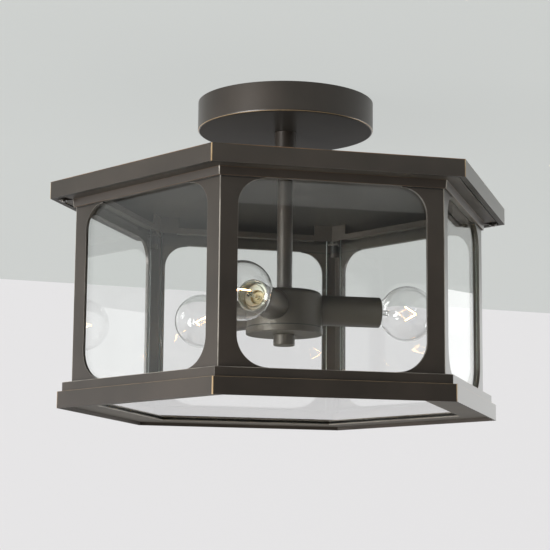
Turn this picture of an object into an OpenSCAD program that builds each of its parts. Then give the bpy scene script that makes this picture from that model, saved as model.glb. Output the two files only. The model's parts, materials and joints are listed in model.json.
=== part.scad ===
// Six-sided glazed porch ceiling lantern with three globe lamps on a central hub.
// The ceiling is the plane z = 0 and the lantern hangs below it. A corner of every
// hexagon points along +X, and a wide flat side faces -Y.

/* [Canopy and strap] */
// Diameter of the ceiling canopy
canopy_d = 154; // [130:1:180]
// Height of the ceiling canopy
canopy_h = 26; // [18:1:40]
// Radius of the canopy's lower edge
canopy_edge = 2; // [1.5:0.5:6]
// Wall of the spun canopy
canopy_t = 1.2; // [0.8:0.1:2]
// Length of the mounting strap
strap_l = 112; // [104:1:120]
// Width of the mounting strap
strap_w = 19; // [16:1:26]
// Thickness of the mounting strap
strap_t = 2.2; // [1.6:0.1:3]
// Distance between the strap's two screw slots
slot_spacing = 88.9; // [82:0.1:92]
// Length of each screw slot, end to end
slot_l = 12; // [8:0.5:14]
// Width of each screw slot
slot_w = 4.6; // [4:0.1:6]
// Height of the drawn collar round the strap's threaded hole
strap_neck = 3; // [2:0.5:6]

/* [Rod and stem] */
// Outside diameter of the threaded rod
rod_d = 9.7; // [8.5:0.1:9.9]
// Wire bore of the threaded rod
rod_bore = 6; // [4:0.5:7]
// Gap round the rod in every hole that it passes
rod_gap = 0.35; // [0.15:0.05:0.5]
// Gap round a screwed fit, thread against thread
thread_gap = 0.05; // [0.02:0.01:0.08]
// Width across flats of the nuts on the rod
rod_nut_af = 14; // [13:0.5:17]
// Thickness of the nuts on the rod
rod_nut_h = 4; // [3:0.5:6]
// Diameter of the spacer tube between canopy and roof
collar_d = 18.8; // [14:0.2:26]
// Length of the spacer tube between canopy and roof
collar_l = 30.6; // [22:0.5:60]
// Diameter of the stem tube inside the lantern
stem_d = 13.4; // [12.6:0.2:18]
// Length of the stem tube inside the lantern
stem_l = 110.1; // [96:0.5:130]

/* [Roof] */
// Distance that the roof stands out past the frieze
roof_ledge = 16.55; // [14:0.05:20]
// Height from the roof's rim to its flat top
roof_rise = 26; // [14:1:38]
// Half width of the flat top, across flats
apex_a = 16; // [13:1:30]
// Depth of the roof's skirt
skirt_h = 14.5; // [12:0.5:22]
// Thickness of all bent sheet
sheet_t = 1.5; // [1:0.1:1.8]
// Width of the hem turned in under the skirt
hem_w = 5; // [3:0.5:5.5]
// Diameter of the studs that carry the cage
stud_d = 4; // [3:0.5:4]
// Distance of the studs from the frieze's corner
stud_out = 7.75; // [7.5:0.05:8.1]
// Width across flats of the stud nuts
stud_nut_af = 7; // [6:0.5:7]
// Thickness of the stud nuts
stud_nut_h = 3.2; // [2:0.2:4]
// Length of a corner bracket along each side of its corner
bracket_w = 22; // [16:1:30]

/* [Cage] */
// Width of the cage across the outside of the posts
post_w = 316; // [312:1:340]
// Distance that the frieze stands out past the posts
frieze_ledge = 2.95; // [2:0.05:3.6]
// Height of the frieze that shows below the roof
frieze_h = 6.2; // [5:0.1:12]
// Distance that the frieze's foot leans in from its top
frieze_lean = 1; // [0:0.1:1.5]
// Black gap between the roof's hem and the frieze's flange
shadow_gap = 1; // [0.5:0.1:2]
// Length of the corner posts
post_l = 149.1; // [140:0.5:170]
// Width of each leg of a post, from the corner to the window
leg_w = 14.5; // [13:0.5:20]
// Thickness of the posts
post_t = 2.5; // [2:0.1:2.8]
// Radius of a window's top corners
window_top_r = 21; // [12:1:28]
// Radius of a window's bottom corners
window_bottom_r = 25; // [12:1:28]
// Thickness of a post's flare where it ends
flare_tip = 0.9; // [0.6:0.1:1.5]
// Radius of the screw bosses in the posts
boss_r = 3.7; // [2.8:0.1:3.8]
// Length of the screw boss at a post's foot
boss_l = 8; // [7.5:0.5:14]
// Length of the upper screw boss below the post's top
boss_drop = 5; // [3:0.5:10]
// Diameter of the post screws
screw_d = 2.8; // [2.2:0.1:3]
// Depth that a post screw reaches into its boss
screw_reach = 6.5; // [4:0.5:7]
// Width across flats of the post screws' heads
screw_af = 7.5; // [6:0.5:7.5]
// Height of the upper post screws' heads
screw_head = 4.6; // [2:0.2:5]

/* [Vents] */
// Distance of the vent ring behind the panes
vent_setback = 6.7; // [3:0.1:9]
// Height of the vent slots under the roof
vent_h = 9.4; // [5:0.1:10.2]
// Height of the rail below the vent slots
rail_h = 5.2; // [4:0.1:6]
// Width of the solid plate at each side of a corner
vent_plate = 17.3; // [10:0.1:30]

/* [Glass] */
// Thickness of every pane
glass_t = 3; // [2:0.1:4]
// Distance of a side pane's edge from the corner inside the posts
pane_inset = 9.03; // [8.5:0.01:11]
// Gap round the panes
glass_gap = 0.3; // [0.2:0.1:0.5]
// Depth of a side pane behind the vent rail
pane_grip = 3; // [1.5:0.5:4.5]
// Chamfer at the corners of the panes
pane_chamfer = 1.2; // [0.5:0.1:3]

/* [Base] */
// Distance that the base's upper step stands out past the posts
step_ledge = 6.85; // [4:0.05:9]
// Height of the base's upper step
step_h = 7.9; // [7:0.1:12]
// Distance that the base's lower step stands out past the upper one
base_ledge = 3.55; // [2:0.05:8]
// Height of the base's lower step
base_h = 13.9; // [13.5:0.1:20]
// Depth of the lip below the base's floor
lip_h = 2.9; // [1:0.1:3.2]
// Thickness of the base's floor
floor_t = 1; // [0.8:0.1:1.6]
// Width of the base's floor from the wall to its opening
floor_w = 28.3; // [25:0.1:31]
// Distance that the glass tray's ledge stays back from the floor's opening
tray_back = 2.5; // [1.5:0.1:6]
// Thickness of the tray's ledge, the shadow gap between the floor and the bottom pane
tray_t = 1.1; // [0.8:0.1:3]
// Height of the seat under the side panes
pane_seat = 8.7; // [7.4:0.1:9.4]
// Height of the lip inside the side panes
pane_lip = 3.5; // [2:0.1:4]

/* [Hub] */
// Diameter of the hub cup
hub_d = 65; // [56:1:72]
// Height of the hub cup
hub_h = 32; // [29:0.5:40]
// Radius of the hub cup's top edge
hub_edge = 4.5; // [2:0.5:6]
// Distance that the hub's cover stands out past the hub cup
cover_ledge = 0.7; // [0.2:0.1:5]
// Height of the hub's cover
cover_h = 5.3; // [4:0.1:9]
// Depth of the cover's spigot inside the hub cup
spigot_h = 2.5; // [1.5:0.5:3.5]
// Diameter of the finial knob
finial_d = 18.6; // [15:0.2:26]
// Length of the finial knob
finial_l = 9.5; // [8:0.5:16]
// Depth of the arms below the hub's top
arm_drop = 14.8; // [14:0.2:15.6]
// Turn of the first arm from +X
arm_turn = -2; // [-20:1:20]

/* [Lampholders] */
// Diameter of the socket covers
socket_d = 26.6; // [25:0.2:27.6]
// Wall of the socket covers
socket_t = 1.2; // [0.8:0.1:1.4]
// Length of a socket cover beyond the hub
socket_l = 52; // [49:0.5:56]
// Diameter of the lampholder body
holder_d = 22.6; // [18:0.2:22.8]
// Distance of the lampholder's mouth inside the socket cover's mouth
holder_setback = 12.5; // [9:0.5:14.5]
// Diameter of the lamp's screw cap
cap_d = 11.8; // [11:0.1:12.5]
// Length of the lamp's screw cap inside its lampholder
cap_l = 16; // [14:0.5:17]
// Wall of the lampholder's brass shell
shell_t = 0.3; // [0.2:0.05:0.6]

/* [Lamps] */
// Diameter of the glass globe
globe_d = 49; // [44:0.5:53]
// Distance of the globe's centre from the socket cover's mouth
globe_stand = 26; // [24:0.5:30]
// Diameter of the globe's neck
neck_d = 19; // [16:0.5:21]
// Radius of the curve from neck to globe
neck_curve = 14; // [11:0.5:16]
// Wall of the glass globe
globe_t = 0.8; // [0.5:0.1:1.2]
// Distance of the glass mount's tip from the globe's centre
mount_tip = 18; // [14:0.5:20]
// Half width of the filament's diamond
filament_spread = 6.2; // [4:0.1:8]
// Distance of the filament's bends from the globe's centre, towards the cap
filament_knee = 1.9; // [0:0.1:4]
// Distance of the filament's nose past the globe's centre
filament_nose = 8; // [5:0.5:12]

/* [Hidden] */

bronze = "#3b342e";
bronze_light = "#5c554d";
steel = "#b9bbb8";
brass = "#b08d4a";
clear = [0.86, 0.93, 0.91, 0.3];
round_fn = 96;
small_fn = 40;
reach = 1; // how far a cutter runs past what it cuts

// Heights, measured up from the ceiling plane
z_canopy = -canopy_h;
z_apex = z_canopy - collar_l;
z_rim = z_apex - roof_rise;
z_skirt = z_rim - skirt_h;
z_frieze = z_skirt - frieze_h;
z_step = z_frieze - post_l;
z_base = z_step - step_h;
z_foot = z_base - base_h;
z_floor = z_foot + lip_h;
z_tray = z_floor + floor_t;
z_pane = z_tray + tray_t + pane_seat;
z_stem = z_apex - sheet_t - stem_l;
z_arm = z_stem - arm_drop;
z_cover = z_stem - hub_h;
z_finial = z_cover - cover_h;
z_flange = z_skirt + sheet_t / 3;
z_flange_top = z_flange + sheet_t;
notch_e = 1.5; // the flange's square ends stop this far short of the corner

// Half widths across flats
post_a = post_w / 2;
post_in = post_a - post_t;
frieze_a = post_a + frieze_ledge;
frieze_foot = frieze_a - frieze_lean;
roof_a = frieze_a + roof_ledge;
pane_out = post_in - glass_gap;
pane_in = pane_out - glass_t;
vent_t = 1.2;
vent_out = pane_in - vent_setback;
vent_in = vent_out - vent_t;
step_a = post_a + step_ledge;
base_a = step_a + base_ledge;
floor_a = base_a - sheet_t - floor_w;
tray_a = floor_a + tray_back;
pane_w = side(post_in) - 2 * pane_inset;
stud_r = corner(frieze_a) + stud_out;

// Vent ring, from the underside of the roof down
vent_slope = roof_rise / (roof_a - apex_a);
z_vent_top = z_rim - sheet_t + (roof_a - sheet_t - vent_out) * vent_slope;
z_vent_slot = z_vent_top - vent_h;
z_vent_bottom = z_vent_slot - rail_h;
z_pane_top = z_vent_bottom + pane_grip;

// Screw bosses in the post corners, and the tabs that their screws pass
boss_at = corner(post_in - boss_r + 0.4);
boss_pilot = screw_d / 2 + thread_gap;
boss_gap = 0.2;
tab_w = 2 * boss_r + 3;
tab_in = boss_at - boss_r - 1.5;
lower_head = 2.4;

// Rod stack
rod_r = rod_d / 2;
rod_hole = rod_r + rod_gap;
thread_r = rod_r + thread_gap;
rod_top = -0.3;
neck_r = rod_r + 2.6;
z_strap = -strap_t - strap_neck;

// Hub and arms
hub_r = hub_d / 2;
cover_r = hub_r + cover_ledge;
hub_wall = sheet_t;
hub_hole = rod_r + 0.15;
saddle_gap = 0.1;

// Stations along an arm, measured from the axis
socket_r = socket_d / 2;
socket_reach = hub_r + socket_l;
holder_reach = socket_reach - holder_setback;
globe_reach = socket_reach + globe_stand;
disc_at = hub_r + 2.5;
nut_seat = disc_at + socket_t;
holder_foot = nut_seat + rod_nut_h + 0.1;
nipple_end = holder_foot + 2.4;
nipple_start = hub_r - 7.5;
inner_nut = hub_r - hub_wall - 1.3 - rod_nut_h;
holder_body = holder_foot + 3.4;
holder_r = holder_d / 2;
cap_r = cap_d / 2;
shell_in = cap_r + 0.1;
shell_out = shell_in + shell_t;
cap_end = holder_reach + 1;
cap_start = cap_end - cap_l - 1.2;
contact_start = cap_start - 4.4;
contact_end = contact_start + 1.5;
contact_gap = 0.3;
seat_at = contact_start - 0.3;
shell_start = seat_at - 1.2;
globe_r = globe_d / 2;
neck_rad = neck_d / 2;

// Twist of each lamp's filament about its own axis, as each lamp happens to be screwed in
filament_twist = [0, 45, 90];
arms = [for (i = [0:2]) arm_turn + 120 * i];

// Corner radius of a hexagon whose flats lie a from its centre
function corner(a) = a / cos(30);

// Length of a hexagon's side whose flats lie a from its centre
function side(a) = 2 * a * tan(30);

module hex_prism(a, z0, z1) {
  translate([0, 0, z0]) linear_extrude(z1 - z0) circle(r = corner(a), $fn = 6);
}

module hex_ring(a_out, a_in, z0, z1) {
  difference() {
    hex_prism(a_out, z0, z1);
    hex_prism(a_in, z0 - reach, z1 + reach);
  }
}

// Six-sided sweep of a profile given as [half width across flats, height]
module hex_turn(profile) {
  rotate_extrude($fn = 6) polygon([for (p = profile) [corner(p[0]), p[1]]]);
}

module at_corners(r) {
  for (i = [0:5]) rotate([0, 0, 60 * i]) translate([r, 0, 0]) children();
}

// The two corners on the X axis, where the roof's studs are
module at_ends(r) {
  for (a = [0, 180]) rotate([0, 0, a]) translate([r, 0, 0]) children();
}

module at_sides(a) {
  for (i = [0:5]) rotate([0, 0, 30 + 60 * i]) translate([a, 0, 0]) children();
}

module bar(r, z0, z1, fn = small_fn) {
  translate([0, 0, z0]) cylinder(r = r, h = z1 - z0, $fn = fn);
}

module tube(r_out, r_in, z0, z1, fn = round_fn) {
  difference() {
    bar(r_out, z0, z1, fn);
    bar(r_in, z0 - reach, z1 + reach, fn);
  }
}

module nut(af, h, r_in, z0) {
  difference() {
    translate([0, 0, z0]) cylinder(r = corner(af / 2), h = h, $fn = 6);
    bar(r_in, z0 - reach, z0 + h + reach);
  }
}

// Half section of a cup whose closed end is at the top
module half_cup(r, h, edge) {
  square([r - edge, h]);
  square([r, h - edge]);
  translate([r - edge, h - edge]) circle(edge, $fn = small_fn);
}

module cup(r, h, edge, t) {
  rotate_extrude($fn = round_fn) difference() {
    half_cup(r, h, edge);
    translate([0, -reach]) half_cup(r - t, h - t + reach, edge - t);
  }
}

// Places a piece drawn along +Z on arm k, with z as the distance from the axis
module on_arm(k) {
  translate([0, 0, z_arm]) rotate([0, 0, arms[k - 1]]) rotate([0, 90, 0]) children();
}

// Straight wire between two points
module wire(p, q, r) {
  d = q - p;
  translate(p) rotate([0, acos(d[2] / norm(d)), atan2(d[1], d[0])])
    cylinder(r = r, h = norm(d), $fn = 16);
}

// Everything below the roof's sheet
module under_roof() {
  hex_turn([
    [0, z_foot], [roof_a - sheet_t, z_foot], [roof_a - sheet_t, z_rim - sheet_t],
    [apex_a - sheet_t, z_apex - sheet_t], [0, z_apex - sheet_t]]);
}

module canopy() {
  color(bronze) difference() {
    mirror([0, 0, 1]) cup(canopy_d / 2, canopy_h, canopy_edge, canopy_t);
    bar(rod_hole, z_canopy - reach, 0);
  }
}

module crossbar() {
  color(steel) difference() {
    union() {
      intersection() {
        translate([-strap_l / 2, -strap_w / 2, -strap_t]) cube([strap_l, strap_w, strap_t]);
        bar(strap_l / 2, -strap_t, 0, round_fn);
      }
      bar(neck_r, z_strap, -strap_t / 2);
    }
    bar(thread_r, z_strap - reach, reach);
    for (s = [-1, 1]) translate([s * slot_spacing / 2, 0, -strap_t - reach])
      linear_extrude(strap_t + 2 * reach) slot_outline();
    translate([slot_spacing / 4, 0, 0]) bar(1.9 + thread_gap, -strap_t - reach, reach);
  }
}

module slot_outline() {
  run = (slot_l - slot_w) / 2;
  square([2 * run, slot_w], center = true);
  for (s = [-1, 1]) translate([s * run, 0]) circle(slot_w / 2, $fn = small_fn);
}

module ground_screw() {
  color("#3f6b45") translate([slot_spacing / 4, 0, 0]) {
    bar(1.9, -strap_t - 1, -0.2);
    difference() {
      translate([0, 0, -strap_t - 3]) cylinder(r = 4.2, h = 3, $fn = 6);
      translate([-5, -0.5, -strap_t - 3 - reach]) cube([10, 1, 1 + reach]);
    }
  }
}

module threaded_rod() {
  color(steel) tube(rod_r, rod_bore / 2, z_finial - finial_l + 3, rod_top);
}

module lock_nuts() {
  color(steel) {
    nut(rod_nut_af, rod_nut_h, thread_r, z_strap - rod_nut_h);
    nut(rod_nut_af, rod_nut_h, thread_r, z_stem - hub_wall - rod_nut_h);
  }
}

module stem_collar() {
  color(bronze) tube(collar_d / 2, rod_hole, z_apex, z_canopy);
}

module stem_tube() {
  color(bronze_light) tube(stem_d / 2, rod_hole, z_stem, z_apex - sheet_t);
}

// Low hipped pan with a turned-down skirt, hemmed inwards
module roof() {
  color(bronze) difference() {
    hex_turn([
      [0, z_apex], [apex_a, z_apex], [roof_a, z_rim], [roof_a, z_skirt],
      [roof_a - hem_w, z_skirt], [roof_a - hem_w, z_skirt + sheet_t],
      [roof_a - sheet_t, z_skirt + sheet_t], [roof_a - sheet_t, z_rim - sheet_t],
      [apex_a - sheet_t, z_apex - sheet_t], [0, z_apex - sheet_t]]);
    bar(rod_hole, z_apex - sheet_t - reach, z_apex + reach);
  }
}

module roof_studs() {
  color(steel) intersection() {
    at_ends(stud_r) bar(stud_d / 2, z_flange_top - stud_nut_h - 1, z_apex);
    under_roof();
  }
}

module stud_nuts() {
  color(steel) at_ends(stud_r)
    nut(stud_nut_af, stud_nut_h, stud_d / 2 + thread_gap, z_flange_top - stud_nut_h);
}

// Chevron plates that bridge the notched corners of the frieze's flange
module corner_brackets() {
  z0 = z_flange_top;
  color(bronze) difference() {
    intersection() {
      hex_ring(roof_a - sheet_t - 0.5, post_in + 2, z0, z0 + sheet_t);
      at_ends(0) translate([post_a, -bracket_w, z0 - reach])
        cube([roof_a, 2 * bracket_w, sheet_t + 2 * reach]);
    }
    at_ends(stud_r) bar(stud_d / 2 + 0.2, z0 - reach, z0 + sheet_t + reach);
  }
}

// Horizontal tab in each corner for a post screw, cut off at half width a_out
module corner_tabs(z, a_out) {
  difference() {
    intersection() {
      at_corners(tab_in) translate([0, -tab_w / 2, z]) cube([corner(a_out) - tab_in, tab_w, sheet_t]);
      hex_prism(a_out, z - reach, z + sheet_t + reach);
    }
    at_corners(boss_at) bar(screw_d / 2 + 0.2, z - reach, z + sheet_t + reach);
  }
}

// Band under the roof: a face, a flange turned in, and a flange turned out that is
// notched square at the two corners on the X axis
module frieze_ring() {
  flange_out = roof_a - hem_w - shadow_gap;
  mid = frieze_a - sheet_t / 2;
  color(bronze) {
    hex_turn([
      [frieze_foot, z_frieze], [frieze_a, z_flange_top],
      [frieze_a - sheet_t, z_flange_top], [frieze_foot - sheet_t, z_frieze]]);
    difference() {
      hex_ring(frieze_foot - sheet_t / 2, post_in, z_frieze, z_frieze + sheet_t);
      at_corners(boss_at) bar(boss_r + boss_gap, z_frieze - reach, z_frieze + sheet_t + reach);
    }
    difference() {
      hex_ring(flange_out, mid, z_flange, z_flange_top);
      at_ends(corner(frieze_a) - 2 * notch_e) translate([0, 0, z_flange - reach])
        linear_extrude(sheet_t + 2 * reach) polygon(notch_outline(stud_r));
    }
    corner_tabs(z_flange, mid);
  }
}

// Wedge between the square ends of the flange at a notched corner
function notch_outline(l) = [[0, 0], [l * cos(30), l * sin(30)], [l * cos(30), -l * sin(30)]];

// Inner band with the vent slots, hung from the underside of the roof. A flange along the
// foot of each side keeps the tops of the panes in place.
module vent_ring() {
  slot = side(vent_in) - 2 * vent_plate;
  color(bronze) {
    intersection() {
      difference() {
        hex_ring(vent_out, vent_in, z_vent_bottom, z_apex);
        at_sides(vent_in - reach) translate([0, -slot / 2, z_vent_slot])
          cube([vent_t + 2 * reach, slot, roof_rise + skirt_h]);
      }
      under_roof();
    }
    at_sides(vent_in + vent_t / 2) translate([0, -slot / 2, z_vent_bottom])
      cube([pane_in - glass_gap - vent_in - vent_t / 2, slot, vent_t]);
  }
}

// One leg of a post, drawn from the corner along its face, with a flared end top and bottom
module leg_outline() {
  mid = (z_step + z_frieze) / 2;
  low = z_step + flare_tip + window_bottom_r;
  high = z_frieze - flare_tip - window_top_r;
  difference() {
    union() {
      translate([0, z_step]) square([leg_w + window_bottom_r, mid - z_step]);
      translate([0, mid]) square([leg_w + window_top_r, z_frieze - mid]);
    }
    translate([leg_w + window_bottom_r, low]) circle(window_bottom_r, $fn = round_fn);
    translate([leg_w + window_top_r, high]) circle(window_top_r, $fn = round_fn);
    translate([leg_w, low]) square([window_top_r + window_bottom_r, high - low]);
  }
}

module post(k) {
  color(bronze) rotate([0, 0, 60 * (k - 1)]) difference() {
    union() {
      for (m = [0, 1]) mirror([0, m, 0]) rotate([0, 0, 30])
        translate([post_in, -side(post_a) / 2, 0]) rotate([90, 0, 90])
          linear_extrude(post_t) leg_outline();
      translate([boss_at, 0, 0]) {
        bar(boss_r, z_frieze - boss_drop, z_flange);
        bar(boss_r, z_step, z_step + boss_l);
      }
    }
    translate([boss_at, 0, 0]) {
      bar(boss_pilot, z_flange - screw_reach - 0.5, z_flange + reach);
      bar(boss_pilot, z_step - reach, z_step + screw_reach + 0.5);
    }
  }
}

// Slotted hexagon-head screw that stands on a tab: head from z up, shank down
module post_screw(head) {
  difference() {
    cylinder(r = corner(screw_af / 2), h = head, $fn = 6);
    translate([-screw_af, -0.5, head - 1]) cube([2 * screw_af, 1, 1 + reach]);
  }
  bar(screw_d / 2, -sheet_t - screw_reach, 0.5);
}

module upper_post_screws() {
  color(steel) at_corners(boss_at) translate([0, 0, z_flange_top]) post_screw(screw_head);
}

module lower_post_screws() {
  color(steel) at_corners(boss_at) translate([0, 0, z_step - sheet_t])
    mirror([0, 0, 1]) post_screw(lower_head);
}

module pane_outline() {
  h = z_pane_top - z_pane;
  c = pane_chamfer;
  w = pane_w / 2;
  polygon([
    [-w + c, 0], [w - c, 0], [w, c], [w, h - c], [w - c, h], [-w + c, h], [-w, h - c], [-w, c]]);
}

module glass_pane(k) {
  color(clear) rotate([0, 0, 30 + 60 * (k - 1)]) translate([pane_in, 0, z_pane])
    rotate([90, 0, 90]) linear_extrude(glass_t) pane_outline();
}

// Stepped moulding at the foot of the cage
module base_ring() {
  color(bronze) {
    difference() {
      union() {
        hex_prism(step_a, z_base - sheet_t, z_step);
        hex_prism(base_a, z_foot, z_base);
      }
      hex_prism(base_a - sheet_t, z_foot - reach, z_base - sheet_t);
      hex_prism(step_a - sheet_t, z_base - sheet_t - reach, z_step - sheet_t);
      hex_prism(post_in, z_step - sheet_t - reach, z_step + reach);
    }
    corner_tabs(z_step - sheet_t, post_in + 1.5);
  }
}

module base_floor() {
  color(bronze_light) hex_ring(base_a - sheet_t, floor_a, z_floor, z_floor + floor_t);
}

// Ledge that holds the bottom pane and the feet of the side panes
module glass_tray() {
  seat_out = post_in + 0.5;
  lip_out = pane_in - 0.5;
  lip_in = lip_out - sheet_t;
  top = z_tray + tray_t;
  color(bronze_light) hex_turn([
    [tray_a, z_tray], [seat_out, z_tray], [seat_out, z_pane], [lip_out, z_pane],
    [lip_out, z_pane + pane_lip], [lip_in, z_pane + pane_lip], [lip_in, top], [tray_a, top]]);
}

module bottom_glass() {
  z0 = z_tray + tray_t;
  color(clear) hex_prism(pane_in - 0.5 - sheet_t - glass_gap, z0, z0 + glass_t);
}

module hub_cup() {
  color(bronze) difference() {
    translate([0, 0, z_cover]) cup(hub_r, hub_h, hub_edge, hub_wall);
    bar(rod_hole, z_cover, z_stem + reach);
    for (k = [1:3]) on_arm(k) bar(hub_hole, hub_r / 2, hub_r + reach);
  }
}

// Shallow lid with a spigot that centres it in the hub cup
module hub_cover() {
  spigot_r = hub_r - hub_wall - 0.3;
  color(bronze_light) difference() {
    rotate_extrude($fn = round_fn) difference() {
      union() {
        translate([0, z_finial + 0.8]) square([cover_r, cover_h - 0.8]);
        translate([0, z_finial]) square([cover_r - 0.8, cover_h]);
        translate([cover_r - 0.8, z_finial + 0.8]) circle(0.8, $fn = small_fn);
        translate([0, z_finial]) square([spigot_r, cover_h + spigot_h]);
      }
      translate([0, z_finial + hub_wall]) square([spigot_r - hub_wall, cover_h + spigot_h]);
    }
    bar(rod_hole, z_finial - reach, z_cover);
  }
}

module finial() {
  r = finial_d / 2;
  color(bronze_light) difference() {
    rotate_extrude($fn = round_fn) union() {
      translate([0, z_finial - finial_l + 1]) square([r, finial_l - 1]);
      translate([0, z_finial - finial_l]) square([r - 1, finial_l]);
      translate([r - 1, z_finial - finial_l + 1]) circle(1, $fn = small_fn);
    }
    bar(thread_r, z_finial - finial_l + 2.5, z_finial + reach);
  }
}

module arm_nipples() {
  color(steel) for (k = [1:3]) on_arm(k) tube(rod_r, rod_bore / 2, nipple_start, nipple_end);
}

module nipple_nuts() {
  color(steel) for (k = [1:3]) on_arm(k) {
    nut(rod_nut_af, rod_nut_h, thread_r, inner_nut);
    nut(rod_nut_af, rod_nut_h, thread_r, nut_seat);
  }
}

// Tube coped to the hub, with a disc that the arm's nipple clamps
module socket_cup(k) {
  color(bronze) difference() {
    on_arm(k) rotate_extrude($fn = round_fn) {
      translate([socket_r - socket_t, hub_r / 2]) square([socket_t, socket_reach - hub_r / 2]);
      translate([hub_hole, disc_at]) square([socket_r - socket_t / 2 - hub_hole, socket_t]);
    }
    bar(hub_r + saddle_gap, z_cover, z_stem, round_fn);
  }
}

module lampholder(k) {
  color("#2a2725") on_arm(k) rotate_extrude($fn = round_fn) difference() {
    union() {
      translate([0, holder_foot]) square([8, holder_body - holder_foot + 1]);
      translate([0, holder_body]) square([holder_r, holder_reach - holder_body]);
    }
    translate([0, holder_foot - reach]) square([thread_r, nipple_end - holder_foot + 0.3 + reach]);
    translate([0, shell_start]) square([shell_out + 0.05, holder_reach - shell_start + reach]);
  }
}

module screw_shell(k) {
  color(brass) on_arm(k) tube(shell_out, shell_in, shell_start + 0.6, holder_reach - 0.3, small_fn);
}

module holder_contacts() {
  color(brass) for (k = [1:3]) on_arm(k) bar(2, shell_start, seat_at);
}

// Half section of the envelope, kept in by d from the outside
module globe_half(d) {
  across = neck_rad + neck_curve;
  curve_at = globe_reach - sqrt(pow(globe_r + neck_curve, 2) - pow(across, 2));
  join = globe_r / (globe_r + neck_curve);
  join_r = across * join;
  join_t = globe_reach + (curve_at - globe_reach) * join;
  intersection() {
    translate([0, cap_end]) square([globe_d, globe_reach + globe_d - cap_end]);
    union() {
      translate([0, globe_reach]) circle(globe_r - d, $fn = round_fn);
      difference() {
        polygon([[0, curve_at], [across, curve_at], [join_r, join_t], [0, globe_reach]]);
        translate([across, curve_at]) circle(neck_curve + d, $fn = round_fn);
      }
      polygon([
        [0, cap_end], [cap_r - d, cap_end], [neck_rad - d, curve_at], [0, curve_at]]);
    }
  }
}

module bulb_glass(k) {
  color(clear) on_arm(k) rotate_extrude($fn = round_fn) difference() {
    globe_half(0);
    globe_half(globe_t);
  }
}

module bulb_cap(k) {
  insulator = contact_end + contact_gap;
  color(brass) on_arm(k) rotate_extrude($fn = small_fn) difference() {
    polygon([
      [0, insulator], [2.6, insulator], [cap_r - 0.7, cap_start], [cap_r, cap_start + 0.6],
      [cap_r, cap_end], [0, cap_end]]);
    translate([0, cap_start + 3]) square([cap_r - 1, cap_l]);
  }
}

// Glass stem with its two lead wires and the bent filament between them
module filament_mount(k) {
  tip = globe_reach - mount_tip;
  seat = cap_start + 3;
  knee = globe_reach - filament_knee;
  nose = globe_reach + filament_nose;
  color("#d9a552") on_arm(k) rotate([0, 0, filament_twist[k - 1]]) {
    rotate_extrude($fn = small_fn) polygon([
      [0, seat], [cap_r - 1.1, seat], [cap_r - 1.1, seat + 1.5], [2, seat + 8], [2, tip - 3],
      [2.7, tip - 1.5], [2.7, tip], [1, tip + 1.5], [0, tip + 1.5]]);
    for (s = [-1, 1]) {
      wire([s * 0.6, 0, tip], [s * filament_spread, 0, knee], 0.3);
      wire([s * filament_spread, 0, knee - 0.3], [0, 0, nose], 0.3);
    }
  }
}

module bulb_contact(k) {
  color(brass) on_arm(k) rotate_extrude($fn = small_fn) polygon([
    [0, contact_start], [1.6, contact_start], [2.3, contact_start + 0.7],
    [2.3, contact_end], [0, contact_end]]);
}

canopy();
crossbar();
ground_screw();
threaded_rod();
lock_nuts();
stem_collar();
roof();
roof_studs();
stud_nuts();
corner_brackets();
frieze_ring();
vent_ring();
post(1);  // post_1
post(2);  // post_2
post(3);  // post_3
post(4);  // post_4
post(5);  // post_5
post(6);  // post_6
upper_post_screws();
lower_post_screws();
glass_pane(1);  // glass_pane_1
glass_pane(2);  // glass_pane_2
glass_pane(3);  // glass_pane_3
glass_pane(4);  // glass_pane_4
glass_pane(5);  // glass_pane_5
glass_pane(6);  // glass_pane_6
base_ring();
base_floor();
glass_tray();
bottom_glass();
stem_tube();
hub_cup();
hub_cover();
finial();
arm_nipples();
nipple_nuts();
socket_cup(1);  // socket_cup_1
socket_cup(2);  // socket_cup_2
socket_cup(3);  // socket_cup_3
lampholder(1);  // lampholder_1
lampholder(2);  // lampholder_2
lampholder(3);  // lampholder_3
screw_shell(1);  // screw_shell_1
screw_shell(2);  // screw_shell_2
screw_shell(3);  // screw_shell_3
holder_contacts();
bulb_glass(1);  // bulb_glass_1
bulb_glass(2);  // bulb_glass_2
bulb_glass(3);  // bulb_glass_3
bulb_cap(1);  // bulb_cap_1
bulb_cap(2);  // bulb_cap_2
bulb_cap(3);  // bulb_cap_3
filament_mount(1);  // filament_mount_1
filament_mount(2);  // filament_mount_2
filament_mount(3);  // filament_mount_3
bulb_contact(1);  // bulb_contact_1
bulb_contact(2);  // bulb_contact_2
bulb_contact(3);  // bulb_contact_3
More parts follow.
